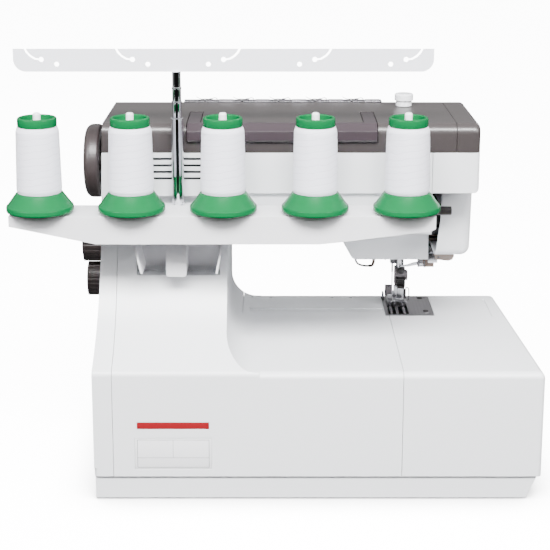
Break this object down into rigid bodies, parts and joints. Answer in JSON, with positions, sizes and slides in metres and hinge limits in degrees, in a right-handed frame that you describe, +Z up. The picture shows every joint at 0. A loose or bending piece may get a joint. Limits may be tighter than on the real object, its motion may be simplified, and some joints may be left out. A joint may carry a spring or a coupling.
{
  "type": "serger overlock sewing machine",
  "caption": "Serger overlock sewing machine with a wide bed, an arm on a column, cone spools on a rear stand, a telescopic thread guide and a carry handle.",
  "frame": {"origin": "centre of the bounding box, on the ground plane under the rubber feet", "axes": "+Z up; +X towards the handwheel side, the right hand of a person who sews; -Y towards that person; +Y towards the spool stand"},
  "size_m": [0.474, 0.244, 0.397],
  "materials": {
    "white_shell": "satin",
    "taupe_cover": "satin",
    "mauve_handle": "satin",
    "brown_control": "satin",
    "white_control": "gloss",
    "dark_plastic": "matte",
    "lever_black": "satin",
    "tray_white": "satin",
    "green_spool": "gloss",
    "steel_plate": "brushed",
    "bright_steel": "polished",
    "steel": "ground",
    "cast_frame": "as cast",
    "guide_paint": "satin",
    "belt_rubber": "matte",
    "foot_rubber": "matte",
    "motor_black": "satin"
  },
  "bodies": {
    "machine_body": {"main_frame": "cast_frame", "base_pan": "white_shell", "rubber_feet": "foot_rubber", "rear_cover": "white_shell", "side_cover": "white_shell", "bed_end_cover": "white_shell", "front_cover": "white_shell", "top_cover": "taupe_cover", "top_end_cap": "taupe_cover", "bed_front_panel": "white_shell", "needle_plate": "steel_plate", "plate_screws": "steel", "lower_knife": "steel", "timing_belt": "belt_rubber", "drive_motor": "motor_black", "power_inlet": "dark_plastic", "thread_guide_plate": "steel_plate", "spool_tray": "tray_white", "spool_pins": "tray_white", "antenna_base_tube": "bright_steel"},
    "main_drive": {"handwheel": "brown_control", "arm_shaft": "steel", "arm_pulley": "steel"},
    "lower_drive": {"lower_shaft": "steel", "lower_pulley": "steel"},
    "motor_rotor": {"motor_pulley": "steel"},
    "needle_unit": {"needle_bar": "bright_steel", "needle_clamp": "steel", "needles": "bright_steel"},
    "presser_unit": {"presser_bar": "bright_steel", "presser_ankle": "steel", "presser_foot": "bright_steel"},
    "foot_release": {"foot_release_lever": "dark_plastic"},
    "foot_lifter": {"lifter_lever": "lever_black"},
    "upper_looper_arm": {"upper_looper": "steel"},
    "lower_looper_arm": {"lower_looper": "steel"},
    "chain_looper_arm": {"chain_looper": "steel"},
    "upper_knife_slide": {"upper_knife": "steel"},
    "feed_bar": {"feed_dog": "steel"},
    "handle": {"carry_handle": "mauve_handle"},
    "face_door": {"face_cover": "white_shell"},
    "looper_door": {"looper_cover": "white_shell"},
    "pressure_knob": {"pressure_dial": "white_control"},
    "stitch_knob": {"stitch_length_dial": "brown_control"},
    "differential_knob": {"differential_dial": "brown_control"},
    "switch_rocker": {"power_switch": "dark_plastic"},
    "antenna_stage_1": {"antenna_middle_tube": "bright_steel"},
    "antenna_stage_2": {"antenna_upper_tube": "bright_steel"},
    "antenna_stage_3": {"antenna_rod": "bright_steel", "thread_guide_bar": "guide_paint"},
    "tension_knob_1": {"tension_dial_1": "brown_control"},
    "reel_1": {"spool_1": "green_spool"},
    "tension_knob_2": {"tension_dial_2": "brown_control"},
    "reel_2": {"spool_2": "green_spool"},
    "tension_knob_3": {"tension_dial_3": "brown_control"},
    "reel_3": {"spool_3": "green_spool"},
    "tension_knob_4": {"tension_dial_4": "brown_control"},
    "reel_4": {"spool_4": "green_spool"},
    "tension_knob_5": {"tension_dial_5": "brown_control"},
    "reel_5": {"spool_5": "green_spool"}
  },
  "joints": [
    {"name": "handwheel_spin", "type": "hinge", "parent": "machine_body", "child": "main_drive", "pos_m": [0.118, -0.028, 0.28], "axis": [1, 0, 0], "continuous": true},
    {"name": "lower_shaft_spin", "type": "hinge", "parent": "machine_body", "child": "lower_drive", "pos_m": [0.118, -0.02, 0.07], "axis": [1, 0, 0], "continuous": true},
    {"name": "motor_spin", "type": "hinge", "parent": "machine_body", "child": "motor_rotor", "pos_m": [0.118, 0.02, 0.15], "axis": [1, 0, 0], "continuous": true},
    {"name": "needle_bar_slide", "type": "slide", "parent": "machine_body", "child": "needle_unit", "axis": [0, 0, 1], "range_m": [-0.03, 0]},
    {"name": "foot_lifter_hinge", "type": "hinge", "parent": "machine_body", "child": "foot_lifter", "pos_m": [-0.15, -0.034, 0.24], "axis": [1, 0, 0], "range_deg": [0, 15]},
    {"name": "presser_bar_slide", "type": "slide", "parent": "machine_body", "child": "presser_unit", "axis": [0, 0, 1], "range_m": [0, 0.006]},
    {"name": "foot_release_hinge", "type": "hinge", "parent": "presser_unit", "child": "foot_release", "pos_m": [-0.125, -0.0786, 0.1455], "axis": [1, 0, 0], "range_deg": [0, 8]},
    {"name": "upper_looper_hinge", "type": "hinge", "parent": "machine_body", "child": "upper_looper_arm", "pos_m": [-0.096, -0.088, 0.05], "axis": [0, 1, 0], "range_deg": [-8, 8]},
    {"name": "lower_looper_hinge", "type": "hinge", "parent": "machine_body", "child": "lower_looper_arm", "pos_m": [-0.136, -0.094, 0.05], "axis": [0, 1, 0], "range_deg": [-8, 8]},
    {"name": "chain_looper_hinge", "type": "hinge", "parent": "machine_body", "child": "chain_looper_arm", "pos_m": [-0.122, -0.08, 0.044], "axis": [0, 1, 0], "range_deg": [-8, 8]},
    {"name": "upper_knife_slide", "type": "slide", "parent": "machine_body", "child": "upper_knife_slide", "axis": [0, 0, 1], "range_m": [-0.0065, 0]},
    {"name": "feed_slide", "type": "slide", "parent": "machine_body", "child": "feed_bar", "axis": [0, 1, 0], "range_m": [-0.003, 0.003]},
    {"name": "carry_handle_hinge", "type": "hinge", "parent": "machine_body", "child": "handle", "pos_m": [-0.005, -0.018, 0.324], "axis": [1, 0, 0], "range_deg": [0, 90]},
    {"name": "face_cover_slide", "type": "slide", "parent": "machine_body", "child": "face_door", "axis": [-1, 0, 0], "range_m": [0, 0.03]},
    {"name": "looper_cover_hinge", "type": "hinge", "parent": "machine_body", "child": "looper_door", "pos_m": [-0.0725, -0.11475, 0.03165], "axis": [1, 0, 0], "range_deg": [0, 80]},
    {"name": "pressure_dial_turn", "type": "hinge", "parent": "machine_body", "child": "pressure_knob", "pos_m": [-0.1227, -0.054, 0.336], "axis": [0, 0, 1], "range_deg": [-150, 150]},
    {"name": "stitch_length_turn", "type": "hinge", "parent": "machine_body", "child": "stitch_knob", "pos_m": [0.175, -0.028, 0.2025], "axis": [1, 0, 0], "range_deg": [-150, 150]},
    {"name": "differential_turn", "type": "hinge", "parent": "machine_body", "child": "differential_knob", "pos_m": [0.172, -0.028, 0.1635], "axis": [1, 0, 0], "range_deg": [-150, 150]},
    {"name": "tension_1_turn", "type": "hinge", "parent": "machine_body", "child": "tension_knob_1", "pos_m": [0.0745, -0.10366, 0.288], "axis": [0, -0.8417, 0.54], "range_deg": [-150, 150]},
    {"name": "tension_2_turn", "type": "hinge", "parent": "machine_body", "child": "tension_knob_2", "pos_m": [0.039, -0.10366, 0.288], "axis": [0, -0.8417, 0.54], "range_deg": [-150, 150]},
    {"name": "tension_3_turn", "type": "hinge", "parent": "machine_body", "child": "tension_knob_3", "pos_m": [0.0035, -0.10366, 0.288], "axis": [0, -0.8417, 0.54], "range_deg": [-150, 150]},
    {"name": "tension_4_turn", "type": "hinge", "parent": "machine_body", "child": "tension_knob_4", "pos_m": [-0.032, -0.10366, 0.288], "axis": [0, -0.8417, 0.54], "range_deg": [-150, 150]},
    {"name": "tension_5_turn", "type": "hinge", "parent": "machine_body", "child": "tension_knob_5", "pos_m": [-0.0675, -0.10366, 0.288], "axis": [0, -0.8417, 0.54], "range_deg": [-150, 150]},
    {"name": "power_switch_rock", "type": "hinge", "parent": "machine_body", "child": "switch_rocker", "pos_m": [0.16, 0.092, 0.047], "axis": [0, 0, 1], "range_deg": [-10, 0]},
    {"name": "antenna_stage_1_slide", "type": "slide", "parent": "machine_body", "child": "antenna_stage_1", "axis": [0, 0, 1], "range_m": [0, 0.065]},
    {"name": "antenna_stage_2_slide", "type": "slide", "parent": "antenna_stage_1", "child": "antenna_stage_2", "axis": [0, 0, 1], "range_m": [0, 0.065]},
    {"name": "antenna_stage_3_slide", "type": "slide", "parent": "antenna_stage_2", "child": "antenna_stage_3", "axis": [0, 0, 1], "range_m": [0, 0.065]},
    {"name": "spool_1_lift", "type": "slide", "parent": "machine_body", "child": "reel_1", "axis": [0, 0, 1], "range_m": [0, 0.1]},
    {"name": "spool_2_lift", "type": "slide", "parent": "machine_body", "child": "reel_2", "axis": [0, 0, 1], "range_m": [0, 0.1]},
    {"name": "spool_3_lift", "type": "slide", "parent": "machine_body", "child": "reel_3", "axis": [0, 0, 1], "range_m": [0, 0.1]},
    {"name": "spool_4_lift", "type": "slide", "parent": "machine_body", "child": "reel_4", "axis": [0, 0, 1], "range_m": [0, 0.1]},
    {"name": "spool_5_lift", "type": "slide", "parent": "machine_body", "child": "reel_5", "axis": [0, 0, 1], "range_m": [0, 0.1]}
  ],
  "couplings": [
    {"joint": "lower_shaft_spin", "follows": "handwheel_spin", "ratio": 1},
    {"joint": "motor_spin", "follows": "handwheel_spin", "ratio": 2.2222},
    {"joint": "presser_bar_slide", "follows": "foot_lifter_hinge", "m_per_rad": 0.0229}
  ]
}
